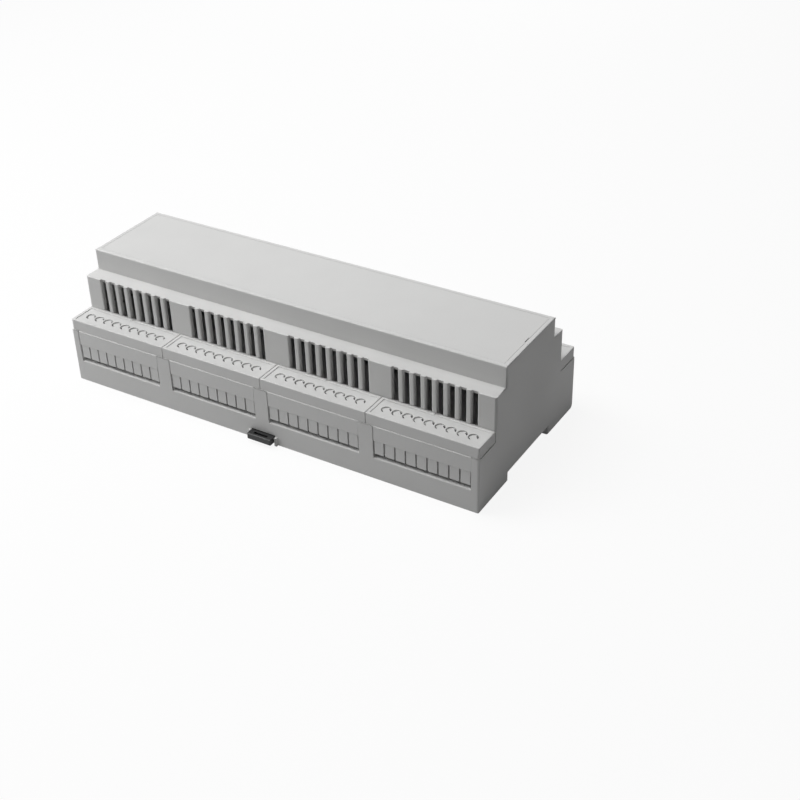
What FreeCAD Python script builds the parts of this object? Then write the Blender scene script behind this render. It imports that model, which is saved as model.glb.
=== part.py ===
import FreeCAD, Part
import math
import os

from FreeCAD import Vector

# Sizes are in millimetres. X runs along the rail, -Y is the clip side and +Z points
# away from the rail. The origin is the middle of the face that sits on the rail.
# Every height below is measured up from the feet; level() turns it into Z.

# Row of modules along the rail
MODULE_WIDTH = 17.5
MODULES_PER_GUARD = 3
GUARDS_PER_SIDE = 4
BAY_ALLOWANCE = 0.7
END_MARGIN = 0.1
GUARD_PITCH = MODULES_PER_GUARD * MODULE_WIDTH + BAY_ALLOWANCE
LENGTH = GUARDS_PER_SIDE * GUARD_PITCH + 2 * END_MARGIN

# Stepped section, seen from the end
BASE_DEPTH = 90.0
SHOULDER_DEPTH = 61.6
TOP_DEPTH = 45.0
BASE_HEIGHT = 26.6
DECK_HEIGHT = 32.1
SHOULDER_HEIGHT = 48.0
TOP_HEIGHT = 58.0
WALL = 2.0
REAR_FOOT_RADIUS = 2.0
TOP_EDGE_RADIUS = 0.6

# Rail and the recess it sits in
RAIL_WIDTH = 35.0
RAIL_FLANGE = 1.0
RAIL_SLACK = 0.3
RECESS_DEPTH = 4.3
RECESS_FRONT_ROOM = 1.0
RECESS_REAR_ROOM = 2.0
SEAT_RELIEF = 0.45
SEAT_SIDE_GAP = 0.1

# Fixed hooks that hold the rear edge of the rail
HOOK_GRIP = 1.4
HOOK_WIDTH = 16.0
HOOK_BOTTOM = 0.9
HOOK_LEAD_IN = 0.8

# Sliding clip that holds the front edge of the rail
CLIP_TRAVEL = 5.0
CLIP_WIDTH = 12.3
CLIP_FLANGE = 2.4
CLIP_BOTTOM = 1.6
CLIP_THICKNESS = 3.0
CLIP_FLANGE_THICKNESS = 1.6
CLIP_TAB_REACH = 4.0
CLIP_TAB_BEVEL = 0.3
CLIP_NOSE_LEAD_IN = 1.1
CLIP_NOSE_TIP = 0.3
CLIP_SIDE_GAP = 0.15
CLIP_TOP_GAP = 0.15
TOOL_SLOT_LENGTH = 7.0
TOOL_SLOT_WIDTH = 1.3
TOOL_SLOT_DEPTH = 1.8
CHEEK_WIDTH = 1.2
CHEEK_REACH = 1.1
CHEEK_HEIGHT = 4.2

# Coil spring behind the clip, and the stop it pushes from
SPRING_DIAMETER = 3.0
SPRING_WIRE = 0.5
SPRING_LENGTH = 9.5
SPRING_TURNS = 4
SPRING_END_GAP = 0.05
STOP_WIDTH = 4.6
STOP_THICKNESS = 2.5
STOP_SETBACK = 11.5
STOP_GAP = 0.1

# Bays in the long walls of the base
TERMINAL_PITCH = 5.08
TERMINALS_PER_GUARD = 9
WINDOW_SIDE_GAP = 0.1
SILL_HEIGHT = 11.3
WINDOW_CORNER_RADIUS = 0.6
WINDOW_CHAMFER = 0.15
SILL_SLOPE_DROP = 0.7
SILL_SLOPE_DEPTH = 1.4

# Terminal guards
GUARD_GAP = 0.25
GUARD_SKIN = 1.5
GUARD_REST_GAP = 0.05
PLATE_SETBACK = 0.15
LIP_SETBACK = 0.45
PLATE_SILL_GAP = 0.2
HOOD_GAP = 0.15
FINGER_SILL_GAP = 1.5
FINGER_HEIGHT = 6.5
FINGER_SLOT = 0.7
FINGER_RECESS = 0.2
RIM_WIDTH = 1.35
RIM_HEIGHT = 0.4
RIM_NOTCH = 2.0
RING_DIAMETER = 3.8
RING_SLOT = 0.75
RING_BRIDGE = 34.0
RING_SETBACK = 6.55
DISC_DROP = 0.6
CHEEK_SKIN = 1.2
PEG_WIDTH = 2.0
PEG_OVERLAP = 0.4
PEG_SKIN = 1.2
PEG_DROP = 4.6
PEG_BARB = 0.45
PEG_GAP = 0.15
CATCH_DEPTH = 0.6
CATCH_HEIGHT = 1.8

# Vents in the shoulder walls
VENTS_PER_GROUP = 8
VENT_PITCH = 5.3
VENT_WIDTH = 3.0
VENT_BITE = 0.8
VENT_END_SHIFT = 1.8
VENT_FOOT = 0.3

# Hood skirt and the tongues that snap into the base
SKIRT_DROP = 4.6
SKIRT_END_GAP = 0.3
TONGUE_WIDTH = 10.0
TONGUE_SPACING = 36.0
TONGUE_DROP = 8.0
TONGUE_SKIN = 1.4
TONGUE_GAP = 0.15
TONGUE_BARB = 0.5
TONGUE_POCKET = 0.7

# Front panel in the top of the hood
PANEL_THICKNESS = 2.0
PANEL_RIM = 2.0
PANEL_GAP = 0.1
PANEL_LEDGE = 2.5
LEDGE_THICKNESS = 1.5
LUG_LENGTH = 8.0
LUG_SPACING = 160.0
LUG_SKIN = 1.2
LUG_BARB = 0.4
PRY_NOTCH_LENGTH = 3.7
PRY_NOTCH_WIDTH = 0.5
PRY_NOTCH_DEPTH = 1.0

# Board supports on the floor of the base
BOARD_HEIGHT = 10.0
BOSS_DIAMETER = 6.0
BOSS_HOLE = 2.5
BOSS_HOLE_DEPTH = 7.0
BOSS_SPACING_X = 190.0
BOSS_SPACING_Y = 54.0
RIB_THICKNESS = 1.5

# Places worked out from the sizes above
HALF_LENGTH = LENGTH / 2
HALF_BASE = BASE_DEPTH / 2
HALF_SHOULDER = SHOULDER_DEPTH / 2
HALF_TOP = TOP_DEPTH / 2
RAIL_EDGE = RAIL_WIDTH / 2
RECESS_FRONT = -RAIL_EDGE - RECESS_FRONT_ROOM
RECESS_REAR = RAIL_EDGE + RECESS_REAR_ROOM
SEAT_EDGE = RAIL_EDGE - HOOK_GRIP - SEAT_SIDE_GAP
CEILING_HEIGHT = max(RECESS_DEPTH + SEAT_RELIEF, CLIP_BOTTOM + CLIP_THICKNESS + CLIP_TOP_GAP)
FLOOR_HEIGHT = CEILING_HEIGHT + WALL
LEG_FLOOR_HEIGHT = WALL
WINDOW_WIDTH = TERMINALS_PER_GUARD * TERMINAL_PITCH + 2 * WINDOW_SIDE_GAP
GUARD_CENTRES = [(i - (GUARDS_PER_SIDE - 1) / 2) * GUARD_PITCH for i in range(GUARDS_PER_SIDE)]
HALF_PLATE = WINDOW_WIDTH / 2 - WINDOW_SIDE_GAP
GUARD_HALF_WIDTH = (GUARD_PITCH - GUARD_GAP) / 2
LIP_FACE = -HALF_BASE + LIP_SETBACK
PLATE_FACE = -HALF_BASE + PLATE_SETBACK
PEG_INNER = HALF_PLATE - PEG_OVERLAP
PEG_FACE = -HALF_BASE + WALL + PEG_GAP
CATCH_TOP = BASE_HEIGHT - PEG_DROP + CATCH_HEIGHT


def level(height):
    return height - RECESS_DEPTH


def block(x0, x1, y0, y1, low, high):
    corner = Vector(x0, y0, level(low))
    return Part.makeBox(x1 - x0, y1 - y0, high - low, corner)


def bar_along_x(outline, x0, x1):
    """A closed outline of (y, height) points carried along X."""
    points = [Vector(x0, y, level(h)) for y, h in outline]
    return Part.Face(Part.makePolygon(points + points[:1])).extrude(Vector(x1 - x0, 0, 0))


def bar_along_y(outline, y0, y1):
    """A closed outline of (x, height) points carried along Y."""
    points = [Vector(x, y0, level(h)) for x, h in outline]
    return Part.Face(Part.makePolygon(points + points[:1])).extrude(Vector(0, y1 - y0, 0))


def mirrored_x(shape):
    return shape.mirror(Vector(0, 0, 0), Vector(1, 0, 0))


def turned(shape):
    """The same piece at the opposite long side, turned half round about Z."""
    copy = shape.copy()
    copy.rotate(Vector(0, 0, 0), Vector(0, 0, 1), 180)
    return copy


def both_sides(shapes):
    return list(shapes) + [turned(shape) for shape in shapes]


def moved_x(shape, x):
    copy = shape.copy()
    copy.translate(Vector(x, 0, 0))
    return copy


def window_cutter(centre):
    """Opening for one guard plate: square at the top, rounded at the sill."""
    half = WINDOW_WIDTH / 2
    top = BASE_HEIGHT + WALL
    radius = WINDOW_CORNER_RADIUS
    cutter = block(centre - half, centre + half, -HALF_BASE - WALL, -HALF_BASE + WALL, SILL_HEIGHT, top)
    sill_z = level(SILL_HEIGHT)
    corners = [
        edge
        for edge in cutter.Edges
        if abs(edge.BoundBox.ZMax - sill_z) < 1e-6 and edge.BoundBox.YLength > WALL
    ]
    return cutter.makeFillet(radius, corners)


def sill_slope(centre):
    """Wedge that slopes the sill of one window down to the outside."""
    half = WINDOW_WIDTH / 2
    outline = [
        (-HALF_BASE, SILL_HEIGHT - SILL_SLOPE_DROP),
        (-HALF_BASE + SILL_SLOPE_DEPTH, SILL_HEIGHT),
        (-HALF_BASE + SILL_SLOPE_DEPTH, SILL_HEIGHT + WINDOW_CORNER_RADIUS),
        (-HALF_BASE - WALL, SILL_HEIGHT + WINDOW_CORNER_RADIUS),
        (-HALF_BASE - WALL, SILL_HEIGHT - SILL_SLOPE_DROP),
    ]
    return bar_along_x(outline, centre - half, centre + half)


def is_window_edge(edge):
    """True for the outer edges of a window, on either long wall."""
    box = edge.BoundBox
    on_face = box.YLength < 1e-6 and abs(abs(box.YMin) - HALF_BASE) < 1e-6
    inside = box.ZMin > level(SILL_HEIGHT) - 1e-6 and box.ZMax < level(BASE_HEIGHT) + 1e-6
    at_top = box.ZLength < 1e-6 and abs(box.ZMax - level(BASE_HEIGHT)) < 1e-6
    at_end = abs(abs(box.XMin) - HALF_LENGTH) < 1e-6 or abs(abs(box.XMax) - HALF_LENGTH) < 1e-6
    return on_face and inside and not at_top and not at_end


def peg_catches():
    """Pockets behind the window posts that the barbs of the guard pegs snap into."""
    pockets = []
    wall_face = -HALF_BASE + WALL
    for centre in GUARD_CENTRES:
        for side in (-1, 1):
            inner = side * (PEG_INNER - CATCH_DEPTH)
            outer = side * (PEG_INNER + PEG_WIDTH + PEG_GAP)
            x0, x1 = sorted((centre + inner, centre + outer))
            low = CATCH_TOP - CATCH_HEIGHT - PEG_GAP
            pockets.append(block(x0, x1, wall_face - CATCH_DEPTH, wall_face + PEG_GAP, low, CATCH_TOP))
    return pockets


def clip_housing():
    """Walls and roof of the channel that the clip runs in, across the front leg."""
    side = CLIP_WIDTH / 2 + CLIP_FLANGE + CLIP_SIDE_GAP + WALL
    front = -HALF_BASE + WALL / 2
    return block(-side, side, front, RECESS_FRONT - WALL / 2, LEG_FLOOR_HEIGHT / 2, FLOOR_HEIGHT)


def clip_channel():
    """A T-shaped way: wide above for the flanges, and open below as wide as the clip."""
    narrow = CLIP_WIDTH / 2 + CLIP_SIDE_GAP
    wide = narrow + CLIP_FLANGE
    ledge = CLIP_BOTTOM + CLIP_THICKNESS - CLIP_FLANGE_THICKNESS - CLIP_TOP_GAP
    slot = block(-narrow, narrow, -HALF_BASE - WALL, RECESS_FRONT + WALL, -WALL, CEILING_HEIGHT)
    way = block(-wide, wide, -HALF_BASE + WALL, RECESS_FRONT + WALL, ledge, CEILING_HEIGHT)
    return slot.fuse(way)


def spring_stop():
    """Post hanging from the roof of the channel inside the window of the clip."""
    front = RECESS_FRONT - WALL - STOP_SETBACK - STOP_THICKNESS
    rear = RECESS_FRONT - WALL - STOP_SETBACK
    half = STOP_WIDTH / 2
    return block(-half, half, front, rear, CLIP_BOTTOM, FLOOR_HEIGHT - WALL / 2)


def rail_hook(centre):
    """Fixed hook on the rear leg: a stop for the edge of the rail and a lip under it."""
    lip_top = RECESS_DEPTH - RAIL_FLANGE - RAIL_SLACK
    tip = RAIL_EDGE - HOOK_GRIP
    stop = RAIL_EDGE + RAIL_SLACK
    root = RECESS_REAR + WALL / 2
    outline = [
        (root, HOOK_BOTTOM),
        (tip + HOOK_LEAD_IN, HOOK_BOTTOM),
        (tip, HOOK_BOTTOM + HOOK_LEAD_IN),
        (tip, lip_top),
        (stop, lip_top),
        (stop, RECESS_DEPTH),
        (stop, CEILING_HEIGHT + WALL / 2),
        (root, CEILING_HEIGHT + WALL / 2),
    ]
    return bar_along_x(outline, centre - HOOK_WIDTH / 2, centre + HOOK_WIDTH / 2)


def board_bosses():
    """Four round bosses with blind screw holes for the circuit board."""
    low = level(LEG_FLOOR_HEIGHT - WALL / 2)
    bosses = []
    holes = []
    for x in (-BOSS_SPACING_X / 2, BOSS_SPACING_X / 2):
        for y in (-BOSS_SPACING_Y / 2, BOSS_SPACING_Y / 2):
            foot = Vector(x, y, low)
            bosses.append(Part.makeCylinder(BOSS_DIAMETER / 2, level(BOARD_HEIGHT) - low, foot))
            mouth = Vector(x, y, level(BOARD_HEIGHT) - BOSS_HOLE_DEPTH)
            holes.append(Part.makeCylinder(BOSS_HOLE / 2, BOSS_HOLE_DEPTH + WALL, mouth))
    return bosses, holes


def leg_ribs():
    """Cross ribs in both legs, under the joints between guards, up to the board."""
    ribs = []
    overlap = WALL / 2
    for left, right in zip(GUARD_CENTRES, GUARD_CENTRES[1:]):
        x = (left + right) / 2
        inner = RECESS_REAR + overlap
        outer = HALF_BASE - overlap
        low = LEG_FLOOR_HEIGHT - overlap
        rib = block(x - RIB_THICKNESS / 2, x + RIB_THICKNESS / 2, inner, outer, low, BOARD_HEIGHT)
        ribs.append(rib)
        if abs(x) > CLIP_WIDTH:
            front = RECESS_FRONT - overlap
            ribs.append(
                block(x - RIB_THICKNESS / 2, x + RIB_THICKNESS / 2, -outer, front, low, BOARD_HEIGHT)
            )
    return ribs


def tongue_pockets():
    """Pockets in the end walls of the base for the barbs of the hood tongues."""
    pockets = []
    inner = HALF_LENGTH - WALL
    low = BASE_HEIGHT - TONGUE_DROP
    high = low + 2 * TONGUE_BARB + TONGUE_GAP
    for y in (-TONGUE_SPACING / 2, TONGUE_SPACING / 2):
        half = TONGUE_WIDTH / 2 + TONGUE_GAP
        pocket = block(inner - TONGUE_GAP, inner + TONGUE_POCKET, y - half, y + half, low, high)
        pockets.append(pocket)
        pockets.append(mirrored_x(pocket))
    return pockets


def make_base():
    outline = [
        (-HALF_BASE, 0),
        (RECESS_FRONT, 0),
        (RECESS_FRONT, RECESS_DEPTH),
        (RECESS_REAR, RECESS_DEPTH),
        (RECESS_REAR, 0),
        (HALF_BASE, 0),
        (HALF_BASE, BASE_HEIGHT),
        (-HALF_BASE, BASE_HEIGHT),
    ]
    shell = bar_along_x(outline, -HALF_LENGTH, HALF_LENGTH)
    foot_edge = [
        edge
        for edge in shell.Edges
        if edge.BoundBox.YMin > HALF_BASE - 1e-6 and edge.BoundBox.ZMax < level(0) + 1e-6
    ]
    shell = shell.makeFillet(REAR_FOOT_RADIUS, foot_edge)

    hollow = [
        (-HALF_BASE + WALL, LEG_FLOOR_HEIGHT),
        (RECESS_FRONT - WALL, LEG_FLOOR_HEIGHT),
        (RECESS_FRONT - WALL, FLOOR_HEIGHT),
        (RECESS_REAR + WALL, FLOOR_HEIGHT),
        (RECESS_REAR + WALL, LEG_FLOOR_HEIGHT),
        (HALF_BASE - WALL, LEG_FLOOR_HEIGHT),
        (HALF_BASE - WALL, BASE_HEIGHT + WALL),
        (-HALF_BASE + WALL, BASE_HEIGHT + WALL),
    ]
    inner_end = HALF_LENGTH - WALL
    shell = shell.cut(bar_along_x(hollow, -inner_end, inner_end))

    # The seat is a raised land, with relief either side for the clip and the hooks
    reliefs = [
        block(-inner_end, inner_end, RECESS_FRONT, -SEAT_EDGE, RECESS_DEPTH - WALL, CEILING_HEIGHT),
        block(-inner_end, inner_end, SEAT_EDGE, RECESS_REAR, RECESS_DEPTH - WALL, CEILING_HEIGHT),
    ]
    shell = shell.cut(reliefs)

    windows = both_sides([window_cutter(centre) for centre in GUARD_CENTRES])
    shell = shell.cut(windows)
    shell = shell.makeChamfer(WINDOW_CHAMFER, [edge for edge in shell.Edges if is_window_edge(edge)])
    shell = shell.cut(both_sides([sill_slope(centre) for centre in GUARD_CENTRES]))

    bosses, boss_holes = board_bosses()
    hooks = [rail_hook(centre) for centre in GUARD_CENTRES]
    cheek_inner = CLIP_WIDTH / 2 + CLIP_SIDE_GAP
    cheek_front = -HALF_BASE - CHEEK_REACH
    cheek_rear = -HALF_BASE + WALL / 2
    cheek = block(cheek_inner, cheek_inner + CHEEK_WIDTH, cheek_front, cheek_rear, 0, CHEEK_HEIGHT)
    shell = shell.fuse([clip_housing()] + hooks + bosses + leg_ribs())
    shell = shell.cut(clip_channel())
    shell = shell.fuse([spring_stop(), cheek, mirrored_x(cheek)])
    pockets = both_sides(peg_catches())
    return shell.cut(pockets + tongue_pockets() + boss_holes).removeSplitter()


def vent_cutters():
    """Upright slots in a shoulder wall. They bite into its top edge, and their ends slope inwards."""
    low = DECK_HEIGHT + VENT_FOOT
    outline = [
        (-HALF_SHOULDER, low),
        (-HALF_SHOULDER - WALL, low),
        (-HALF_SHOULDER - WALL, SHOULDER_HEIGHT + WALL),
        (-HALF_SHOULDER + VENT_BITE, SHOULDER_HEIGHT + WALL),
        (-HALF_SHOULDER + VENT_BITE, SHOULDER_HEIGHT),
        (-HALF_SHOULDER + WALL, SHOULDER_HEIGHT - WALL),
        (-HALF_SHOULDER + WALL, low - WALL),
    ]
    inner = GUARD_PITCH / 2
    outer = GUARD_CENTRES[-1] - VENT_END_SHIFT
    cutters = []
    for middle in (-outer, -inner, inner, outer):
        for slot in range(VENTS_PER_GROUP):
            x = middle + (slot - (VENTS_PER_GROUP - 1) / 2) * VENT_PITCH
            cutters.append(bar_along_x(outline, x - VENT_WIDTH / 2, x + VENT_WIDTH / 2))
    return cutters


def hood_tongue(y):
    """Tongue on the right end wall of the hood, with a barb that snaps into the base."""
    face = HALF_LENGTH - WALL - TONGUE_GAP
    back = face - TONGUE_SKIN
    low = BASE_HEIGHT - TONGUE_DROP + TONGUE_GAP
    root = BASE_HEIGHT + WALL
    outline = [
        (back, low),
        (face - TONGUE_GAP, low),
        (face + TONGUE_BARB, low + TONGUE_BARB),
        (face, low + 2 * TONGUE_BARB),
        (face, BASE_HEIGHT),
        (face + WALL, BASE_HEIGHT),
        (face + WALL, root),
        (back, root + TONGUE_SKIN),
    ]
    return bar_along_y(outline, y - TONGUE_WIDTH / 2, y + TONGUE_WIDTH / 2)


def make_hood():
    outline = [
        (-HALF_SHOULDER, BASE_HEIGHT),
        (-HALF_SHOULDER, SHOULDER_HEIGHT),
        (-HALF_TOP, SHOULDER_HEIGHT),
        (-HALF_TOP, TOP_HEIGHT),
        (HALF_TOP, TOP_HEIGHT),
        (HALF_TOP, SHOULDER_HEIGHT),
        (HALF_SHOULDER, SHOULDER_HEIGHT),
        (HALF_SHOULDER, BASE_HEIGHT),
    ]
    hood = bar_along_x(outline, -HALF_LENGTH, HALF_LENGTH)
    top_edges = [edge for edge in hood.Edges if edge.BoundBox.ZMin > level(TOP_HEIGHT) - 1e-6]
    hood = hood.makeFillet(TOP_EDGE_RADIUS, top_edges)

    ledge_bottom = TOP_HEIGHT - PANEL_THICKNESS - LEDGE_THICKNESS
    hollow = [
        (-HALF_SHOULDER + WALL, BASE_HEIGHT - WALL),
        (-HALF_SHOULDER + WALL, SHOULDER_HEIGHT - WALL),
        (-HALF_TOP + WALL, SHOULDER_HEIGHT - WALL),
        (-HALF_TOP + WALL, ledge_bottom),
        (HALF_TOP - WALL, ledge_bottom),
        (HALF_TOP - WALL, SHOULDER_HEIGHT - WALL),
        (HALF_SHOULDER - WALL, SHOULDER_HEIGHT - WALL),
        (HALF_SHOULDER - WALL, BASE_HEIGHT - WALL),
    ]
    inner_end = HALF_LENGTH - WALL
    hood = hood.cut(bar_along_x(hollow, -inner_end, inner_end))

    # Rebate that the panel lies in, and the opening inside its ledge
    seat_x = HALF_LENGTH - PANEL_RIM
    seat_y = HALF_TOP - PANEL_RIM
    rebate = block(-seat_x, seat_x, -seat_y, seat_y, TOP_HEIGHT - PANEL_THICKNESS, TOP_HEIGHT + WALL)
    open_x = seat_x - PANEL_LEDGE
    open_y = seat_y - PANEL_LEDGE
    opening = block(-open_x, open_x, -open_y, open_y, ledge_bottom - WALL, TOP_HEIGHT + WALL)
    hood = hood.cut([rebate, opening])

    skirt_end = inner_end - SKIRT_END_GAP
    skirt_low = BASE_HEIGHT - SKIRT_DROP
    skirt = block(
        -skirt_end, skirt_end, -HALF_SHOULDER, -HALF_SHOULDER + WALL, skirt_low, BASE_HEIGHT + WALL
    )
    tongues = [hood_tongue(y) for y in (-TONGUE_SPACING / 2, TONGUE_SPACING / 2)]
    hood = hood.fuse(both_sides([skirt]) + tongues + [mirrored_x(tongue) for tongue in tongues])
    return hood.cut(both_sides(vent_cutters())).removeSplitter()


def panel_lug(x, side):
    """Snap lug under the panel, with a barb below the ledge of the hood."""
    face = HALF_TOP - PANEL_RIM - PANEL_LEDGE - PANEL_GAP
    under = TOP_HEIGHT - PANEL_THICKNESS
    catch = under - LEDGE_THICKNESS - PANEL_GAP
    tip = catch - 2 * LUG_BARB
    outline = [
        (face, under + PANEL_GAP),
        (face, catch),
        (face + LUG_BARB, catch - LUG_BARB / 2),
        (face, tip),
        (face - LUG_SKIN, tip),
        (face - LUG_SKIN, under + PANEL_GAP),
    ]
    placed = [(side * y, h) for y, h in outline]
    return bar_along_x(placed, x - LUG_LENGTH / 2, x + LUG_LENGTH / 2)


def make_front_panel():
    half_x = HALF_LENGTH - PANEL_RIM - PANEL_GAP
    half_y = HALF_TOP - PANEL_RIM - PANEL_GAP
    panel = block(-half_x, half_x, -half_y, half_y, TOP_HEIGHT - PANEL_THICKNESS, TOP_HEIGHT)
    notch = block(
        half_x - PRY_NOTCH_WIDTH,
        half_x + WALL,
        -PRY_NOTCH_LENGTH / 2,
        PRY_NOTCH_LENGTH / 2,
        TOP_HEIGHT - PRY_NOTCH_DEPTH,
        TOP_HEIGHT + WALL,
    )
    lugs = [panel_lug(x, side) for x in (-LUG_SPACING / 2, 0, LUG_SPACING / 2) for side in (-1, 1)]
    return panel.fuse(lugs).cut(notch).removeSplitter()


def break_out_disc(x, y):
    """A sunk disc in the deck, held by two bridges between two slots, in straight chords."""
    low = level(DECK_HEIGHT - GUARD_SKIN) - WALL
    disc_top = level(DECK_HEIGHT - RIM_HEIGHT - DISC_DROP)
    sweep = math.radians(90.0 - RING_BRIDGE)
    height = GUARD_SKIN + 2 * WALL

    def side(radius, middle, z):
        angles = [math.radians(middle) + share * sweep for share in (-0.5, 0, 0.5)]
        return [Vector(x + radius * math.cos(a), y + radius * math.sin(a), z) for a in angles]

    inner = (RING_DIAMETER - RING_SLOT) / 2
    outer = (RING_DIAMETER + RING_SLOT) / 2
    cutters = []
    rim = []
    for middle in (45, 135, 225, 315):
        rim += side(outer, middle, disc_top)
    for middle in (45, 225):
        corners = side(inner, middle, low) + side(outer, middle, low)[::-1]
        slot = Part.Face(Part.makePolygon(corners + corners[:1]))
        cutters.append(slot.extrude(Vector(0, 0, height)))
    sunk = Part.Face(Part.makePolygon(rim + rim[:1]))
    return cutters + [sunk.extrude(Vector(0, 0, height))]


def guard_peg():
    """Snap peg at the right end of a guard, behind the post of the base."""
    low = BASE_HEIGHT - PEG_DROP
    back = PEG_FACE + PEG_SKIN
    outline = [
        (back, low),
        (PEG_FACE, low),
        (PEG_FACE - PEG_BARB, low + PEG_BARB),
        (PEG_FACE - PEG_BARB, low + 2 * PEG_BARB),
        (PEG_FACE, low + 3 * PEG_BARB),
        (PEG_FACE, BASE_HEIGHT + GUARD_SKIN),
        (back, BASE_HEIGHT + GUARD_SKIN),
    ]
    peg = bar_along_x(outline, PEG_INNER, PEG_INNER + PEG_WIDTH)
    web = block(
        PEG_INNER,
        PEG_INNER + PEG_WIDTH,
        LIP_FACE + GUARD_SKIN / 2,
        back,
        BASE_HEIGHT + GUARD_REST_GAP,
        DECK_HEIGHT - GUARD_SKIN / 2,
    )
    return peg.fuse(web)


def deck_field():
    """Sunk field of the deck inside its rim, with a small notch in the rear rim."""
    rear = -HALF_SHOULDER - HOOD_GAP
    side = GUARD_HALF_WIDTH - RIM_WIDTH
    front = LIP_FACE + RIM_WIDTH
    floor = DECK_HEIGHT - RIM_HEIGHT
    above = DECK_HEIGHT + WALL
    field = block(-side, side, front, rear - RIM_WIDTH, floor, above)
    notch = block(-RIM_NOTCH / 2, RIM_NOTCH / 2, rear - 2 * RIM_WIDTH, rear + WALL, floor, above)
    return [field, notch]


def wire_ways():
    """Slots that part the thinned foot of the plate into a break-out finger for each wire."""
    bottom = SILL_HEIGHT + FINGER_SILL_GAP
    top = bottom + FINGER_HEIGHT
    outside = PLATE_FACE - WALL
    half = FINGER_SLOT / 2
    cuts = [
        block(-HALF_PLATE, HALF_PLATE, outside, PLATE_FACE + FINGER_RECESS, SILL_HEIGHT, top),
        block(-HALF_PLATE, HALF_PLATE, outside, PLATE_FACE + GUARD_SKIN, SILL_HEIGHT, bottom),
    ]
    for i in range(TERMINALS_PER_GUARD + 1):
        x = (i - TERMINALS_PER_GUARD / 2) * TERMINAL_PITCH
        cuts.append(block(x - half, x + half, outside, PLATE_FACE + GUARD_SKIN, SILL_HEIGHT, top))
    return cuts


def screw_ways():
    """A break-out disc in the deck over each terminal screw."""
    cuts = []
    for i in range(TERMINALS_PER_GUARD):
        x = (i - (TERMINALS_PER_GUARD - 1) / 2) * TERMINAL_PITCH
        cuts += break_out_disc(x, LIP_FACE + RING_SETBACK)
    return cuts


def make_guard(with_ways):
    """One front guard at X = 0: deck, lip, cheeks, window plate and snap pegs."""
    rear = -HALF_SHOULDER - HOOD_GAP
    rest = BASE_HEIGHT + GUARD_REST_GAP
    half = GUARD_HALF_WIDTH
    angle_section = [
        (LIP_FACE, rest),
        (LIP_FACE, DECK_HEIGHT),
        (rear, DECK_HEIGHT),
        (rear, DECK_HEIGHT - GUARD_SKIN),
        (LIP_FACE + GUARD_SKIN, DECK_HEIGHT - GUARD_SKIN),
        (LIP_FACE + GUARD_SKIN, rest),
    ]
    guard = bar_along_x(angle_section, -half, half)
    cheek_front = LIP_FACE + GUARD_SKIN / 2
    cheek_top = DECK_HEIGHT - GUARD_SKIN / 2
    cheek = block(half - CHEEK_SKIN, half, cheek_front, rear, rest, cheek_top)
    plate_bottom = SILL_HEIGHT + PLATE_SILL_GAP
    plate_rear = PLATE_FACE + GUARD_SKIN
    plate = block(-HALF_PLATE, HALF_PLATE, PLATE_FACE, plate_rear, plate_bottom, rest)
    knee = block(-HALF_PLATE, HALF_PLATE, LIP_FACE, plate_rear, rest - GUARD_SKIN, rest + GUARD_SKIN)
    corners = [
        edge
        for edge in plate.Edges
        if edge.BoundBox.ZMax < level(plate_bottom) + 1e-6 and edge.BoundBox.YLength > GUARD_SKIN / 2
    ]
    plate = plate.makeFillet(WINDOW_CORNER_RADIUS - WINDOW_SIDE_GAP, corners)
    peg = guard_peg()
    guard = guard.fuse([cheek, mirrored_x(cheek), plate, knee, peg, mirrored_x(peg)])

    cuts = deck_field()
    if with_ways:
        cuts += wire_ways() + screw_ways()
    return guard.cut(cuts).removeSplitter()


def make_clip():
    """The sliding clip at rest, with its nose under the front edge of the rail."""
    top = CLIP_BOTTOM + CLIP_THICKNESS
    tip = -RAIL_EDGE + HOOK_GRIP
    nose_root = -RAIL_EDGE - RAIL_SLACK
    nose_top = RECESS_DEPTH - RAIL_FLANGE - RAIL_SLACK
    front = -HALF_BASE - CLIP_TAB_REACH
    half = CLIP_WIDTH / 2
    outline = [
        (front, CLIP_BOTTOM),
        (front, top),
        (nose_root, top),
        (nose_root, nose_top),
        (tip, nose_top),
        (tip, nose_top - CLIP_NOSE_TIP),
        (tip - CLIP_NOSE_LEAD_IN, CLIP_BOTTOM),
    ]
    clip = bar_along_x(outline, -half, half)
    tab_edges = [edge for edge in clip.Edges if edge.BoundBox.YMax < front + 1e-6]
    clip = clip.makeChamfer(CLIP_TAB_BEVEL, tab_edges)

    # Side flanges, which stop against the front wall when the clip is pulled out
    flange_front = -HALF_BASE + WALL + CLIP_TRAVEL + CLIP_SIDE_GAP
    flange_rear = RECESS_FRONT - WALL
    flange_low = top - CLIP_FLANGE_THICKNESS
    wide = half + CLIP_FLANGE
    flanges = block(-wide, wide, flange_front, flange_rear, flange_low, top)

    # Window that holds the spring and goes round the stop
    window_half = STOP_WIDTH / 2 + CLIP_SIDE_GAP
    window_rear = RECESS_FRONT - WALL - STOP_SETBACK + SPRING_LENGTH + 2 * SPRING_END_GAP
    window_front = RECESS_FRONT - WALL - STOP_SETBACK - STOP_THICKNESS - STOP_GAP
    window = block(-window_half, window_half, window_front, window_rear, 0, top + WALL)
    slot_y = -HALF_BASE - CLIP_TAB_REACH / 2
    tool_slot = block(
        -TOOL_SLOT_LENGTH / 2,
        TOOL_SLOT_LENGTH / 2,
        slot_y - TOOL_SLOT_WIDTH / 2,
        slot_y + TOOL_SLOT_WIDTH / 2,
        top - TOOL_SLOT_DEPTH,
        top + WALL,
    )
    return clip.fuse(flanges).cut([window, tool_slot]).removeSplitter()


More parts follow.
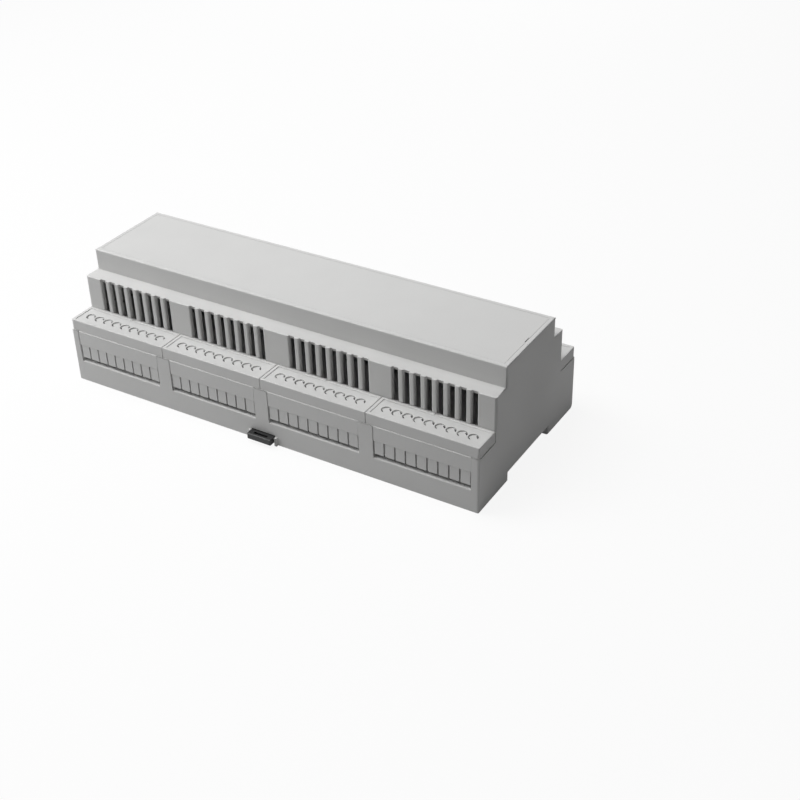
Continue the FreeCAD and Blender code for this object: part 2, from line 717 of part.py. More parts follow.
def make_spring():
    """Compression coil along Y: a square wire carried round a helix."""
    radius = (SPRING_DIAMETER - SPRING_WIRE) / 2
    coil_length = SPRING_LENGTH - SPRING_WIRE
    pitch = coil_length / SPRING_TURNS
    helix = Part.makeHelix(pitch, coil_length, radius)
    half = SPRING_WIRE / 2
    corners = [
        Vector(radius - half, 0, -half),
        Vector(radius + half, 0, -half),
        Vector(radius + half, 0, half),
        Vector(radius - half, 0, half),
    ]
    section = Part.makePolygon(corners + corners[:1])
    coil = Part.Wire(helix).makePipeShell([section], True, True)
    if coil.Volume < 0:
        coil = coil.reversed()
    coil.rotate(Vector(0, 0, 0), Vector(1, 0, 0), -90)
    start = RECESS_FRONT - WALL - STOP_SETBACK + SPRING_END_GAP + half
    coil.translate(Vector(0, start, level(CLIP_BOTTOM + CLIP_THICKNESS / 2)))
    return coil


def save(name, shape):
    solids = shape.Solids
    print(name, len(solids), "solid", shape.isValid(), round(shape.Volume, 1), "mm3")
    piece = solids[0] if len(solids) == 1 else Part.makeCompound(solids)
    piece.exportStep("parts/" + name + ".step")


def main():
    os.makedirs("parts", exist_ok=True)
    save("base", make_base())
    save("hood", make_hood())
    save("front_panel", make_front_panel())
    open_guard = make_guard(True)
    blank_guard = turned(make_guard(False))
    for number, centre in enumerate(GUARD_CENTRES, 1):
        save("front_guard_" + str(number), moved_x(open_guard, centre))
        save("rear_guard_" + str(number), moved_x(blank_guard, centre))
    save("rail_clip", make_clip())
    save("clip_spring", make_spring())


main()
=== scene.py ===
import math

import bmesh
import bpy
import numpy as np
from bpy.props import FloatProperty, FloatVectorProperty, IntProperty, PointerProperty, StringProperty
from mathutils import Matrix, Vector


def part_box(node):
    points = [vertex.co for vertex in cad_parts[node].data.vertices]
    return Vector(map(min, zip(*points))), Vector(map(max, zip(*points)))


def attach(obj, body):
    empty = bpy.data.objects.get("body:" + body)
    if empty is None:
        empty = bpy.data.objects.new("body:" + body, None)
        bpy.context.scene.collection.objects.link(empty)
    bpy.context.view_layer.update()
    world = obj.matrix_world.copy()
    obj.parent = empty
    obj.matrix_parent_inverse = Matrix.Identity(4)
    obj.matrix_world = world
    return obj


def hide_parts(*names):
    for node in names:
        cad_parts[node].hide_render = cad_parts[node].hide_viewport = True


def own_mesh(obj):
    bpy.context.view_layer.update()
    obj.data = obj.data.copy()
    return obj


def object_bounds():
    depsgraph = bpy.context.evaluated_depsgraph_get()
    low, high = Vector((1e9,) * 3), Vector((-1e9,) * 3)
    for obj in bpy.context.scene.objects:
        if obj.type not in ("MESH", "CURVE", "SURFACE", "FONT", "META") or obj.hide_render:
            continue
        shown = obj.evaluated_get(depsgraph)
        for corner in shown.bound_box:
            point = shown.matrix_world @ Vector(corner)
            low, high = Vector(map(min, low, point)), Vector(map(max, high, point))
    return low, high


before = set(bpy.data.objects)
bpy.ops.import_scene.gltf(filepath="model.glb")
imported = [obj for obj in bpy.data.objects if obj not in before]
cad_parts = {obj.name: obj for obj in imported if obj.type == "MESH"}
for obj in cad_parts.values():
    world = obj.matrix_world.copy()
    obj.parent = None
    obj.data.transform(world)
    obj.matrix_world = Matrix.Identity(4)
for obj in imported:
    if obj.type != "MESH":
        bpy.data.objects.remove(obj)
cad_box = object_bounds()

bl_info = {
    "name": "Din rail enclosure",
    "version": (1, 0, 0),
    "blender": (4, 5, 0),
    "location": "View3D > Sidebar > Enclosure",
    "description": "Finishes the moulded pieces of a twelve module din rail enclosure",
    "category": "Object",
}

# All lengths are in metres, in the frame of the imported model
MM = 0.001
FEET_Z = cad_box[0].z
GUARD_NUMBERS = (1, 2, 3, 4)
FIXED_BODY = "enclosure"
CLIP_BODY = "clip"

# A copied CAD mesh is welded, and its coplanar triangles are joined, within these
WELD = 1e-6
FLAT_ANGLE = math.radians(1.0)

# Faces that meet at this angle or more are shaded apart, and their edge may be rounded
SHARP_ANGLE = math.radians(35.0)

# How near a face or a seam an edge counts as on it
ON_FACE = 0.05 * MM
ON_SEAM = 0.25 * MM

# How near the end of the row an edge counts as one of the end's
END_ZONE = 1.0 * MM

# How far in from the base's sides its hollow begins, and how thick the vented wall is
WALL = 2.1 * MM
VENT_WALL = 2.0 * MM

# How far beyond the front panel its seam in the hood reaches
SEAM_MARGIN = 0.3 * MM

# Levels of the base's top, where what closes it begins, and of the deck over the terminals
SEAM_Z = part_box("base")[1][2]
DECK_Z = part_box("front_guard_1")[1][2]

# Half the depth of the hood
HOOD_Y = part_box("hood")[1][1]

# Refractive indices, and the roughness that a spark eroded mould leaves
ABS_IOR = 1.53
ACETAL_IOR = 1.48
ABS_ROUGHNESS = 0.5
ACETAL_ROUGHNESS = 0.42

# Where most values of a noise pattern lie
NOISE_RANGE = {"From Min": 0.3, "From Max": 0.7}

# How much the flow patches and the pits darken or lighten a moulding's colour
PATCH_SHADE = {"To Min": 0.975, "To Max": 1.02}
PIT_SHADE = {"To Min": 0.985, "To Max": 1.01}

# How far a patch may be below or above the moulding's roughness
PATCH_GLOSSIER = 0.03
PATCH_ROUGHER = 0.04

# Drawn wire: die lines across its thickness, their depth, and the roughness that they give
DIE_LINES = 6
DIE_LINE_DEPTH = 0.004 * MM
STEEL_ROUGHNESS = {"To Min": 0.22, "To Max": 0.42}

# The coil's mesh has this many sections a turn, and this many corners in a section
PER_TURN = 36
ROUND_WIRE = 12

# The first and last turn are ground until this share of the wire is left beyond their middle
GROUND_SHARE = 0.25

# Spring length with the clip at rest and pulled out
SPRING_AT_REST = 9.5 * MM
SPRING_PULLED = 4.5 * MM

# To the eye this share of the floor glows white, and the rest is paint that takes the shadow
FLOOR_GLOW = 0.9
FLOOR_PAINT = (0.95, 0.95, 0.95, 1)

# The camera's sensor width in millimetres, and the range of distances that it sees
SENSOR_WIDTH = 36
NEAREST = 0.01
FARTHEST = 20

# Sockets of a Mix node, whose names are the same for numbers and colours
MIX_FACTOR = 0
MIX_A = 6
MIX_B = 7
MIX_RESULT = 2


class PlasticSettings(bpy.types.PropertyGroup):
    """Colours and texture of the mouldings."""

    housing_hex: StringProperty(
        name="Housing colour", description="sRGB colour of the base and hood", default="#D2D2D1"
    )
    panel_hex: StringProperty(
        name="Panel colour", description="sRGB colour of the front panel", default="#D1D1D0"
    )
    guard_hex: StringProperty(
        name="Guard colour", description="sRGB colour of the terminal guards", default="#D3D3D2"
    )
    clip_hex: StringProperty(
        name="Clip colour", description="sRGB colour of the rail clip", default="#262627"
    )
    grain: FloatProperty(
        name="Grain",
        description="Spacing of the spark eroded texture",
        default=0.45 * MM,
        unit="LENGTH",
    )
    relief: FloatProperty(
        name="Relief",
        description="Depth of the spark eroded texture",
        default=0.016 * MM,
        unit="LENGTH",
    )
    mottle: FloatProperty(
        name="Mottle",
        description="Size of the soft patches that flow in the mould leaves",
        default=24 * MM,
        unit="LENGTH",
    )


class EdgeSettings(bpy.types.PropertyGroup):
    """Rounding of the moulded edges."""

    outer: FloatProperty(
        name="Long edges",
        description="Rounding of the long outside edges",
        default=0.3 * MM,
        unit="LENGTH",
    )
    fine: FloatProperty(
        name="Short edges",
        description="Rounding of the edges of slots and small steps",
        default=0.06 * MM,
        unit="LENGTH",
    )
    corner: FloatProperty(
        name="End corners",
        description="Rounding of the upright corners at the ends of the row",
        default=0.9 * MM,
        unit="LENGTH",
    )
    vent: FloatProperty(
        name="Vent bars",
        description="Rounding of the upright bars between the vents",
        default=0.5 * MM,
        unit="LENGTH",
    )
    vent_back: FloatProperty(
        name="Vent bars behind",
        description="Rounding of those bars towards the inside",
        default=0.4 * MM,
        unit="LENGTH",
    )
    seam: FloatProperty(
        name="Panel edges",
        description="Rounding of the edges along the panel seam",
        default=0.05 * MM,
        unit="LENGTH",
    )
    long_edge: FloatProperty(
        name="Long edge",
        description="Shortest edge that gets the larger rounding",
        default=12 * MM,
        unit="LENGTH",
    )
    short_edge: FloatProperty(
        name="Short edge",
        description="Shortest edge that is rounded at all",
        default=0.4 * MM,
        unit="LENGTH",
    )
    segments: IntProperty(name="Segments", description="Faces across a rounded edge", default=2, min=1)


class SpringSettings(bpy.types.PropertyGroup):
    """Return spring of the rail clip."""

    steel_hex: StringProperty(
        name="Spring colour", description="sRGB colour of the drawn wire", default="#B9B8B4"
    )
    wire: FloatProperty(
        name="Wire", description="Diameter of the wire", default=0.5 * MM, unit="LENGTH"
    )
    active_turns: FloatProperty(
        name="Active turns", description="Turns between the closed ends", default=4.5
    )
    end_turns: FloatProperty(
        name="Closed turns", description="Turns that lie wire on wire at each end", default=1.0
    )
    closed_share: FloatProperty(
        name="Compressed length",
        description="Length with the clip pulled out, as a share of the length at rest",
        default=SPRING_PULLED / SPRING_AT_REST,
    )


class StageSettings(bpy.types.PropertyGroup):
    """Camera and light."""

    azimuth: FloatProperty(
        name="Azimuth",
        description="Angle of the camera round Z, from the clip side",
        default=math.radians(31.437),
        subtype="ANGLE",
    )
    elevation: FloatProperty(
        name="Elevation",
        description="Angle of the camera above the floor",
        default=math.radians(33.321),
        subtype="ANGLE",
    )
    roll: FloatProperty(
        name="Roll",
        description="Turn of the camera about its line of sight",
        default=math.radians(-1.347),
        subtype="ANGLE",
    )
    distance: FloatProperty(
        name="Distance",
        description="From the camera to the point it looks at",
        default=609.34 * MM,
        unit="LENGTH",
    )
    target: FloatVectorProperty(
        name="Target",
        description="Point in the middle of the view",
        default=(42.95 * MM, 0, 4.95 * MM),
        unit="LENGTH",
    )
    lens: FloatProperty(name="Lens", description="Focal length in millimetres", default=61.524)
    floor_size: FloatProperty(
        name="Floor", description="Half the width of the floor", default=3.0, unit="LENGTH"
    )
    floor_bounce: FloatProperty(
        name="Floor bounce", description="Share of the light that the floor throws back up", default=0.55
    )
    key_place: FloatVectorProperty(
        name="Key lamp",
        description="Place of the large soft lamp overhead",
        default=(-0.3, -0.1, 1.0),
        unit="LENGTH",
    )
    key_size: FloatProperty(
        name="Key size", description="Width of the large soft lamp", default=0.7, unit="LENGTH"
    )
    key_power: FloatProperty(
        name="Key power", description="Power of the large soft lamp in watts", default=7.4
    )
    side_place: FloatVectorProperty(
        name="Side lamp",
        description="Place of the lamp at the left",
        default=(-0.6, -0.2, 0.7),
        unit="LENGTH",
    )
    side_size: FloatProperty(
        name="Side size", description="Width of the lamp at the left", default=0.5, unit="LENGTH"
    )
    side_power: FloatProperty(
        name="Side power", description="Power of the lamp at the left in watts", default=3.0
    )
    front_place: FloatVectorProperty(
        name="Front lamp",
        description="Place of the low lamp at the front left",
        default=(-0.4, -0.4, 0.08),
        unit="LENGTH",
    )
    front_size: FloatProperty(
        name="Front size", description="Width of the low lamp", default=0.25, unit="LENGTH"
    )
    front_power: FloatProperty(
        name="Front power", description="Power of the low lamp in watts", default=0.45
    )
    rear_place: FloatVectorProperty(
        name="Rear lamp",
        description="Place of the weak lamp behind",
        default=(-0.3, 0.7, 0.2),
        unit="LENGTH",
    )
    rear_size: FloatProperty(
        name="Rear size", description="Width of the weak lamp behind", default=0.5, unit="LENGTH"
    )
    rear_power: FloatProperty(
        name="Rear power", description="Power of the weak lamp behind in watts", default=1.0
    )


def linear(hex_colour):
    """An sRGB hex value as linear red, green, blue and alpha."""
    value = hex_colour.lstrip("#")
    channels = [int(value[i : i + 2], 16) / 255 for i in (0, 2, 4)]
    return [c / 12.92 if c <= 0.04045 else ((c + 0.055) / 1.055) ** 2.4 for c in channels] + [1.0]


def add_node(tree, kind, inputs=None, **settings):
    """Adds a node with its settings. An input is a value, or the output socket that feeds it."""
    node = tree.nodes.new(kind)
    for name, value in settings.items():
        setattr(node, name, value)
    for socket, value in (inputs or {}).items():
        if isinstance(value, bpy.types.NodeSocket):
            tree.links.new(value, node.inputs[socket])
        else:
            node.inputs[socket].default_value = value
    return node


def new_material(name):
    """A material with an empty node tree, and that tree."""
    material = bpy.data.materials.new(name)
    material.use_nodes = True
    material.node_tree.nodes.clear()
    return material, material.node_tree


def moulded_plastic(name, hex_colour, settings, roughness, ior):
    """Injection moulded plastic from a spark eroded mould.

    The eye gets an even, silky grey: fine pits from the mould that soften the highlights, and
    faint broad patches where the melt flowed. The real pits are about 0.1 mm apart, too fine
    to show, so they are drawn at the coarser spacing in the settings.
    """
    material, tree = new_material(name)
    place = add_node(tree, "ShaderNodeTexCoord")
    patches = add_node(
        tree,
        "ShaderNodeTexNoise",
        {"Vector": place.outputs["Object"], "Scale": 1 / settings.mottle, "Detail": 2.0},
    )
    pits = add_node(
        tree,
        "ShaderNodeTexNoise",
        {
            "Vector": place.outputs["Object"],
            "Scale": 1 / settings.grain,
            "Detail": 3.0,
            "Roughness": 0.6,
        },
    )
    shade = add_node(
        tree, "ShaderNodeMapRange", {"Value": patches.outputs["Fac"], **NOISE_RANGE, **PATCH_SHADE}
    )
    speck = add_node(
        tree, "ShaderNodeMapRange", {"Value": pits.outputs["Fac"], **NOISE_RANGE, **PIT_SHADE}
    )
    both = add_node(
        tree, "ShaderNodeMath", {0: shade.outputs[0], 1: speck.outputs[0]}, operation="MULTIPLY"
    )
    colour = add_node(
        tree,
        "ShaderNodeMix",
        {MIX_FACTOR: 1.0, MIX_A: linear(hex_colour), MIX_B: both.outputs[0]},
        data_type="RGBA",
        blend_type="MULTIPLY",
    )
    gloss = add_node(
        tree,
        "ShaderNodeMapRange",
        {
            "Value": patches.outputs["Fac"],
            **NOISE_RANGE,
            "To Min": roughness - PATCH_GLOSSIER,
            "To Max": roughness + PATCH_ROUGHER,
        },
    )
    bump = add_node(
        tree,
        "ShaderNodeBump",
        {"Height": pits.outputs["Fac"], "Strength": 1.0, "Distance": settings.relief},
    )
    shader = add_node(
        tree,
        "ShaderNodeBsdfPrincipled",
        {
            "Base Color": colour.outputs[MIX_RESULT],
            "Roughness": gloss.outputs[0],
            "IOR": ior,
            "Normal": bump.outputs["Normal"],
        },
    )
    add_node(tree, "ShaderNodeOutputMaterial", {"Surface": shader.outputs["BSDF"]})
    return material


def drawn_steel(name, hex_colour, wire):
    """Hard drawn spring wire: bright, with fine die lines that break up its highlight."""
    material, tree = new_material(name)
    place = add_node(tree, "ShaderNodeTexCoord")
    lines = add_node(
        tree,
        "ShaderNodeTexNoise",
        {"Vector": place.outputs["Object"], "Scale": DIE_LINES / wire, "Detail": 3.0},
    )
    gloss = add_node(
        tree, "ShaderNodeMapRange", {"Value": lines.outputs["Fac"], **STEEL_ROUGHNESS}
    )
    bump = add_node(
        tree,
        "ShaderNodeBump",
        {"Height": lines.outputs["Fac"], "Strength": 0.5, "Distance": DIE_LINE_DEPTH},
    )
    shader = add_node(
        tree,
        "ShaderNodeBsdfPrincipled",
        {
            "Base Color": linear(hex_colour),
            "Metallic": 1.0,
            "Roughness": gloss.outputs[0],
            "Normal": bump.outputs["Normal"],
        },
    )
    add_node(tree, "ShaderNodeOutputMaterial", {"Surface": shader.outputs["BSDF"]})
    return material


def new_piece(name, mesh, material, slot, body, *replaced):
    """An object for a finished mesh that stands for CAD nodes and rides on their body."""
    piece = bpy.data.objects.new(name, mesh)
    bpy.context.scene.collection.objects.link(piece)
    mesh.materials.clear()
    mesh.materials.append(material)
    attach(piece, body)
    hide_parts(*replaced)
    return piece


def middle_of(edge):
    """The point halfway along an edge."""
    return (edge.verts[0].co + edge.verts[1].co) / 2


def is_upright(edge):
    """True for an edge that runs along Z."""
    run = edge.verts[1].co - edge.verts[0].co
    return abs(run.x) < ON_FACE and abs(run.y) < ON_FACE


def is_covered(place):
    """True for a place where the hood's end runs down behind the ends of the guards."""
    return SEAM_Z < place.z < DECK_Z and abs(place.y) < HOOD_Y + ON_SEAM


def edge_width(edge, edges):
    """How wide an edge is rounded: not at all if flat, inward, tiny or along a tight end seam."""
    if len(edge.link_faces) != 2 or not edge.is_convex:
        return 0.0
    length = edge.calc_length()
    if edge.calc_face_angle() < SHARP_ANGLE or length < edges.short_edge:
        return 0.0
    middle = middle_of(edge)
    if cad_box[1].x - abs(middle.x) < END_ZONE:
        if abs(middle.z - SEAM_Z) < ON_SEAM or is_covered(middle):
            return 0.0
        if is_upright(edge) and length > END_ZONE:
            return edges.corner
    return edges.outer if length > edges.long_edge else edges.fine


def welded_copy(node_name, cut_z=None):
    """A copy of a CAD mesh, welded, with coplanar triangles joined, and cut through at a level."""
    if node_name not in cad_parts:
        raise RuntimeError(f"the frame has no node named {node_name}")
    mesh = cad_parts[node_name].data.copy()
    # The stored normals belong to the loose triangles and would not fit the rounded mesh
    if "custom_normal" in mesh.attributes:
        mesh.attributes.remove(mesh.attributes["custom_normal"])
    shape = bmesh.new()
    shape.from_mesh(mesh)
    bmesh.ops.remove_doubles(shape, verts=shape.verts, dist=WELD)
    bmesh.ops.dissolve_limit(
        shape,
        angle_limit=FLAT_ANGLE,
        use_dissolve_boundaries=False,
        verts=shape.verts,
        edges=shape.edges,
    )
    if cut_z is not None:
        parts = shape.verts[:] + shape.edges[:] + shape.faces[:]
        bmesh.ops.bisect_plane(shape, geom=parts, dist=WELD, plane_co=(0, 0, cut_z), plane_no=(0, 0, 1))
    return mesh, shape


def softened(node_name, material, slot, body, edges, width_of=edge_width, widest=None, cut_z=None):
    """A piece from a CAD node, with its outward edges rounded as moulding leaves them.

    width_of gives each edge its rounding, which widest caps. The edges of a cut are sharp, so
    that the two sides of it are shaded as the one flat face that they are.
    """
    mesh, shape = welded_copy(node_name, cut_z)
    widest = widest or max(edges.corner, edges.vent)
    weights = []
    for edge in shape.edges:
        cut = cut_z is not None and all(abs(vert.co.z - cut_z) < WELD for vert in edge.verts)
        bent = len(edge.link_faces) == 2 and edge.calc_face_angle() >= SHARP_ANGLE
        edge.smooth = not cut and not bent
        weights.append(min(width_of(edge, edges), widest) / widest)
    for face in shape.faces:
        face.smooth = True
    shape.to_mesh(mesh)
    shape.free()
    layer = mesh.attributes.new("bevel_weight_edge", "FLOAT", "EDGE")
    layer.data.foreach_set("value", weights)
    piece = new_piece(node_name + "_moulding", mesh, material, slot, body, node_name)
    bevel = piece.modifiers.new("rounded edges", "BEVEL")
    bevel.limit_method = "WEIGHT"
    bevel.width = widest
    bevel.segments = edges.segments
    bevel.use_clamp_overlap = False
    bevel.miter_outer = "MITER_SHARP"
    normals = piece.modifiers.new("flat faces", "WEIGHTED_NORMAL")
    normals.keep_sharp = True
    return piece


def inside(place, low, high, margin):
    """True where a place lies within a box in plan, grown by a margin on each side."""
    in_x = low[0] - margin < place.x < high[0] + margin
    return in_x and low[1] - margin < place.y < high[1] + margin


def base_rule():
    """As edge_width, with the edges in the hollow of the base left sharp."""
    low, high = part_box("base")

    def width(edge, edges):
        return 0.0 if inside(middle_of(edge), low, high, -WALL) else edge_width(edge, edges)

    return width


def hood_rule():
    """As edge_width, but sharp round and below the panel, and rounder on the vent bars."""
    low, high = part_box("front_panel")

    def width(edge, edges):
        middle = middle_of(edge)
        if inside(middle, low, high, SEAM_MARGIN):
            return 0.0
        plain = edge_width(edge, edges)
        # How far the edge lies behind the face that the vents are cut through
        depth = HOOD_Y - abs(middle.y)
        if not plain or middle.z < DECK_Z or plain == edges.corner:
            return plain
        if is_upright(edge) and abs(depth - VENT_WALL) < ON_FACE:
            return edges.vent_back
        if depth > ON_FACE:
            return plain
        return edges.vent if is_upright(edge) else edges.outer

    return width


class ENCLOSURE_OT_stage(bpy.types.Operator):
    """Sets up the floor, the light and the camera."""

    bl_idname = "enclosure.stage"
    bl_label = "Stage"

    def execute(self, context):
        settings = context.scene.enclosure_stage
        self.camera(context, settings)
        self.floor(context, settings)
        self.lamp(context, "key", settings.key_place, settings.key_size, settings.key_power)
        self.lamp(context, "side", settings.side_place, settings.side_size, settings.side_power)
        self.lamp(context, "front", settings.front_place, settings.front_size, settings.front_power)
        self.lamp(context, "rear", settings.rear_place, settings.rear_size, settings.rear_power)
        self.backdrop(context)
        context.scene.view_settings.view_transform = "Standard"
        return {"FINISHED"}

    def camera(self, context, settings):
        """Looks at the target from an azimuth and an elevation, rolled about its line of sight."""
        camera = bpy.data.cameras.new("camera")
        camera.lens = settings.lens
        camera.sensor_width = SENSOR_WIDTH
        camera.clip_start = NEAREST
        camera.clip_end = FARTHEST
        view = bpy.data.objects.new("camera", camera)
        azimuth, elevation, roll = settings.azimuth, settings.elevation, settings.roll
        level = math.cos(elevation)
        back = Vector((math.sin(azimuth) * level, -math.cos(azimuth) * level, math.sin(elevation)))
        right = Vector((math.cos(azimuth), math.sin(azimuth), 0))
        up = back.cross(right)
        side = right * math.cos(roll) + up * math.sin(roll)
        top = up * math.cos(roll) - right * math.sin(roll)
        turn = Matrix((side, top, back)).transposed().to_4x4()
        view.matrix_world = Matrix.Translation(Vector(settings.target) + back * settings.distance) @ turn
        context.scene.collection.objects.link(view)
        context.scene.camera = view

    def floor(self, context, settings):
        """A pale floor at the feet: white to the eye and in reflections, grey as a light."""
        size = settings.floor_size
        mesh = bpy.data.meshes.new("floor")
        corners = [(-size, -size), (size, -size), (size, size), (-size, size)]
        mesh.from_pydata([(x, y, FEET_Z) for x, y in corners], [], [(0, 1, 2, 3)])
        floor = bpy.data.objects.new("floor", mesh)
        context.scene.collection.objects.link(floor)
        material, tree = new_material("pale studio floor")
        path = add_node(tree, "ShaderNodeLightPath")
        seen = self.seen(tree, path)
        bounce = settings.floor_bounce
        paint = add_node(
            tree,
            "ShaderNodeMix",
            {
                MIX_FACTOR: path.outputs["Is Camera Ray"],
                MIX_A: (bounce, bounce, bounce, 1),
                MIX_B: FLOOR_PAINT,
            },
            data_type="RGBA",
        )
        matt = add_node(tree, "ShaderNodeBsdfDiffuse", {"Color": paint.outputs[MIX_RESULT]})
        white = add_node(tree, "ShaderNodeEmission", {"Strength": 1.0})
        share = add_node(tree, "ShaderNodeMath", {0: seen, 1: FLOOR_GLOW}, operation="MULTIPLY")
        mixed = add_node(
            tree,
            "ShaderNodeMixShader",
            {0: share.outputs[0], 1: matt.outputs[0], 2: white.outputs[0]},
        )
        add_node(tree, "ShaderNodeOutputMaterial", {"Surface": mixed.outputs[0]})
        mesh.materials.append(material)

    def seen(self, tree, path):
        """One for rays from the camera, off gloss or through glass, and nought for the rest."""
        gloss = add_node(
            tree,
            "ShaderNodeMath",
            {0: path.outputs["Is Camera Ray"], 1: path.outputs["Is Glossy Ray"]},
            operation="MAXIMUM",
        )
        glass = add_node(
            tree,
            "ShaderNodeMath",
            {0: gloss.outputs[0], 1: path.outputs["Is Transmission Ray"]},
            operation="MAXIMUM",
        )
        return glass.outputs[0]

    def lamp(self, context, name, place, size, power):
        """A square lamp that faces the frame's origin and isn't in the picture."""
        light = bpy.data.lights.new(name, "AREA")
        light.shape = "SQUARE"
        light.size = size
        light.energy = power
        holder = bpy.data.objects.new(name, light)
        holder.location = place
        holder.rotation_mode = "QUATERNION"
        holder.rotation_quaternion = (-Vector(place)).to_track_quat("-Z", "Y")
        holder.visible_camera = False
        context.scene.collection.objects.link(holder)

    def backdrop(self, context):
        """White to the eye and in reflections, and no light of its own."""
        world = bpy.data.worlds.new("studio")
        context.scene.world = world
        world.use_nodes = True
        tree = world.node_tree
        tree.nodes.clear()
        path = add_node(tree, "ShaderNodeLightPath")
        even = add_node(
            tree, "ShaderNodeBackground", {"Color": (1, 1, 1, 1), "Strength": self.seen(tree, path)}
        )
        add_node(tree, "ShaderNodeOutputWorld", {"Surface": even.outputs[0]})


class ENCLOSURE_OT_housing(bpy.types.Operator):
    """Finishes the base and the hood in textured moulded ABS."""

    bl_idname = "enclosure.housing"
    bl_label = "Housing"

    def execute(self, context):
        plastic = context.scene.enclosure_plastic
        edges = context.scene.enclosure_edges
        colour = plastic.housing_hex
        material = moulded_plastic("moulded ABS, housing", colour, plastic, ABS_ROUGHNESS, ABS_IOR)
        softened("base", material, "base_plastic", FIXED_BODY, edges, base_rule())
        # The cut at the deck lets the hood's end corners be rounded above it and sharp below,
        # where they run down behind the ends of the guards
        softened("hood", material, "hood_plastic", FIXED_BODY, edges, hood_rule(), cut_z=DECK_Z)
        return {"FINISHED"}


class ENCLOSURE_OT_panel(bpy.types.Operator):
    """Finishes the front panel in moulded ABS."""

    bl_idname = "enclosure.panel"
    bl_label = "Front panel"

    def execute(self, context):
        plastic = context.scene.enclosure_plastic
        edges = context.scene.enclosure_edges
        colour = plastic.panel_hex
        material = moulded_plastic("moulded ABS, panel", colour, plastic, ABS_ROUGHNESS, ABS_IOR)
        softened("front_panel", material, "panel_plastic", FIXED_BODY, edges, widest=edges.seam)
        return {"FINISHED"}


class ENCLOSURE_OT_guards(bpy.types.Operator):
    """Finishes the perforated front guards and the blank rear guards."""

    bl_idname = "enclosure.guards"
    bl_label = "Terminal guards"

    def execute(self, context):
        plastic = context.scene.enclosure_plastic
        edges = context.scene.enclosure_edges
        colour = plastic.guard_hex
        material = moulded_plastic("moulded ABS, guards", colour, plastic, ABS_ROUGHNESS, ABS_IOR)
        for side in ("front", "rear"):
            for number in GUARD_NUMBERS:
                softened(f"{side}_guard_{number}", material, "guard_plastic", FIXED_BODY, edges)
        return {"FINISHED"}


class ENCLOSURE_OT_clip(bpy.types.Operator):
    """Finishes the sliding clip in black moulded acetal."""

    bl_idname = "enclosure.clip"
    bl_label = "Rail clip"

    def execute(self, context):
        plastic = context.scene.enclosure_plastic
        edges = context.scene.enclosure_edges
        colour = plastic.clip_hex
        material = moulded_plastic("moulded acetal, clip", colour, plastic, ACETAL_ROUGHNESS, ACETAL_IOR)
        softened("rail_clip", material, "clip_plastic", CLIP_BODY, edges)
        return {"FINISHED"}


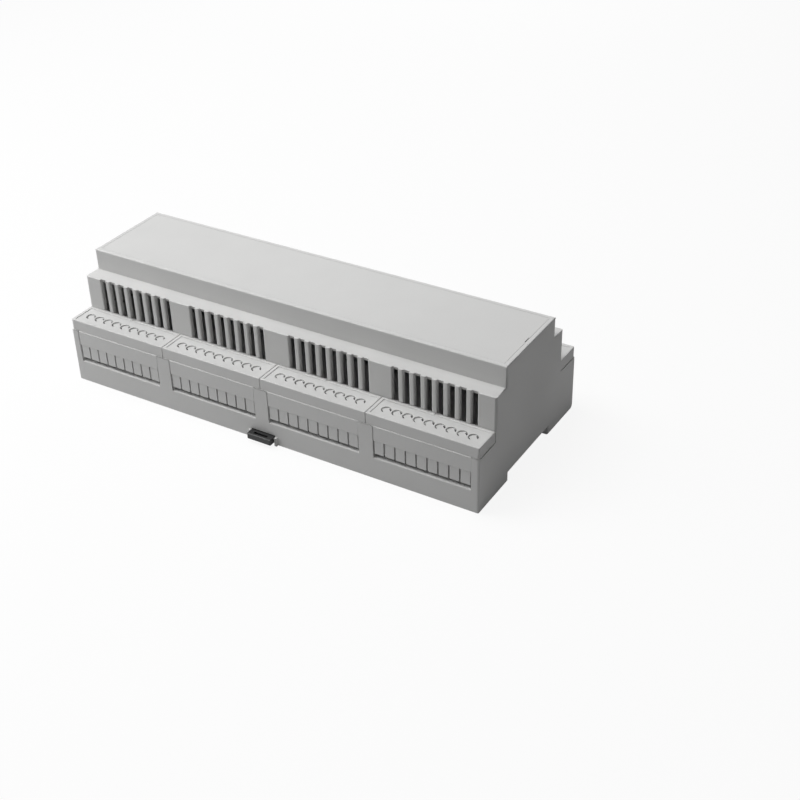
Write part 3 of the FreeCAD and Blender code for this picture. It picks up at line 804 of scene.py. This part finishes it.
class ENCLOSURE_OT_spring(bpy.types.Operator):
    """Winds the return spring of the clip, with closed and ground ends."""

    bl_idname = "enclosure.spring"
    bl_label = "Return spring"

    def execute(self, context):
        settings = context.scene.enclosure_spring
        low, high = (Vector(corner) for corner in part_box("clip_spring"))
        mesh = self.coil(settings, low, high)
        material = drawn_steel("drawn spring steel", settings.steel_hex, settings.wire)
        piece = new_piece("clip_return_spring", mesh, material, "spring_steel", FIXED_BODY, "clip_spring")
        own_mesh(piece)
        return {"FINISHED"}

    def coil(self, settings, low, high):
        """A round wire carried along a helix about Y.

        The centre line turns evenly. It advances one wire thickness a turn in the closed end
        turns and evenly in between. The section is a circle across that line, and the ends
        are ground flat by holding the surface between the two end planes.
        """
        wire = settings.wire
        radius = (high.x - low.x - wire) / 2
        middle = (low + high) / 2
        turns = settings.active_turns + 2 * settings.end_turns
        count = int(PER_TURN * turns)
        turn = np.linspace(0, turns, count + 1)
        start = low.y + wire * GROUND_SHARE
        end = high.y - wire * GROUND_SHARE
        closed = settings.end_turns
        marks = [0, closed, turns - closed, turns]
        places = [start, start + closed * wire, end - closed * wire, end]
        along = np.interp(turn, marks, places)
        angle = 2 * math.pi * turn
        centre = np.stack([radius * np.cos(angle), along, radius * np.sin(angle)], axis=1)
        tangent = np.gradient(centre, axis=0)
        tangent /= np.linalg.norm(tangent, axis=1, keepdims=True)
        outward = np.stack([np.cos(angle), np.zeros_like(angle), np.sin(angle)], axis=1)
        across = np.cross(tangent, outward)
        around = np.linspace(0, 2 * math.pi, ROUND_WIRE, endpoint=False)
        cosine = np.cos(around)[None, :, None]
        sine = np.sin(around)[None, :, None]
        section = outward[:, None] * cosine + across[:, None] * sine
        points = centre[:, None] + section * wire / 2
        points[..., 1] = np.clip(points[..., 1], low.y, high.y)
        points[..., 0] += middle.x
        points[..., 2] += middle.z
        ring, corner = np.meshgrid(np.arange(count) * ROUND_WIRE, np.arange(ROUND_WIRE), indexing="ij")
        next_ring = ring + ROUND_WIRE
        next_corner = (corner + 1) % ROUND_WIRE
        faces = np.stack(
            [ring + corner, ring + next_corner, next_ring + next_corner, next_ring + corner], axis=-1
        )
        last = count * ROUND_WIRE
        caps = [list(range(ROUND_WIRE)), list(range(last, last + ROUND_WIRE))[::-1]]
        mesh = bpy.data.meshes.new("coil")
        mesh.from_pydata(points.reshape(-1, 3).tolist(), [], faces.reshape(-1, 4).tolist() + caps)
        shape = bmesh.new()
        shape.from_mesh(mesh)
        bmesh.ops.recalc_face_normals(shape, faces=shape.faces)
        shape.to_mesh(mesh)
        shape.free()
        mesh.polygons.foreach_set("use_smooth", [True] * len(mesh.polygons))
        mesh.set_sharp_from_angle(angle=SHARP_ANGLE)
        return mesh


class ENCLOSURE_PT_pieces(bpy.types.Panel):
    """Lists the pieces of the enclosure."""

    bl_idname = "ENCLOSURE_PT_pieces"
    bl_label = "Din rail enclosure"
    bl_space_type = "VIEW_3D"
    bl_region_type = "UI"
    bl_category = "Enclosure"

    def draw(self, context):
        for operator in OPERATORS:
            self.layout.operator(operator.bl_idname)
        for name, settings in SETTINGS.items():
            box = self.layout.box()
            for field in settings.__annotations__:
                box.prop(getattr(context.scene, name), field)


SETTINGS = {
    "enclosure_plastic": PlasticSettings,
    "enclosure_edges": EdgeSettings,
    "enclosure_spring": SpringSettings,
    "enclosure_stage": StageSettings,
}
OPERATORS = (
    ENCLOSURE_OT_housing,
    ENCLOSURE_OT_panel,
    ENCLOSURE_OT_guards,
    ENCLOSURE_OT_clip,
    ENCLOSURE_OT_spring,
    ENCLOSURE_OT_stage,
)


def register():
    """Adds the classes, and puts their settings on the scene."""
    for group in SETTINGS.values():
        bpy.utils.register_class(group)
    for item in OPERATORS + (ENCLOSURE_PT_pieces,):
        bpy.utils.register_class(item)
    for name, group in SETTINGS.items():
        setattr(bpy.types.Scene, name, PointerProperty(type=group))


def unregister():
    """Takes the settings and the classes away again."""
    for name in SETTINGS:
        delattr(bpy.types.Scene, name)
    for item in (ENCLOSURE_PT_pieces,) + OPERATORS[::-1]:
        bpy.utils.unregister_class(item)
    for group in SETTINGS.values():
        bpy.utils.unregister_class(group)


def main():
    """Finishes every piece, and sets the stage."""
    register()
    bpy.ops.enclosure.housing()
    bpy.ops.enclosure.panel()
    bpy.ops.enclosure.guards()
    bpy.ops.enclosure.clip()
    bpy.ops.enclosure.spring()
    bpy.ops.enclosure.stage()


if __name__ == "__main__":
    main()
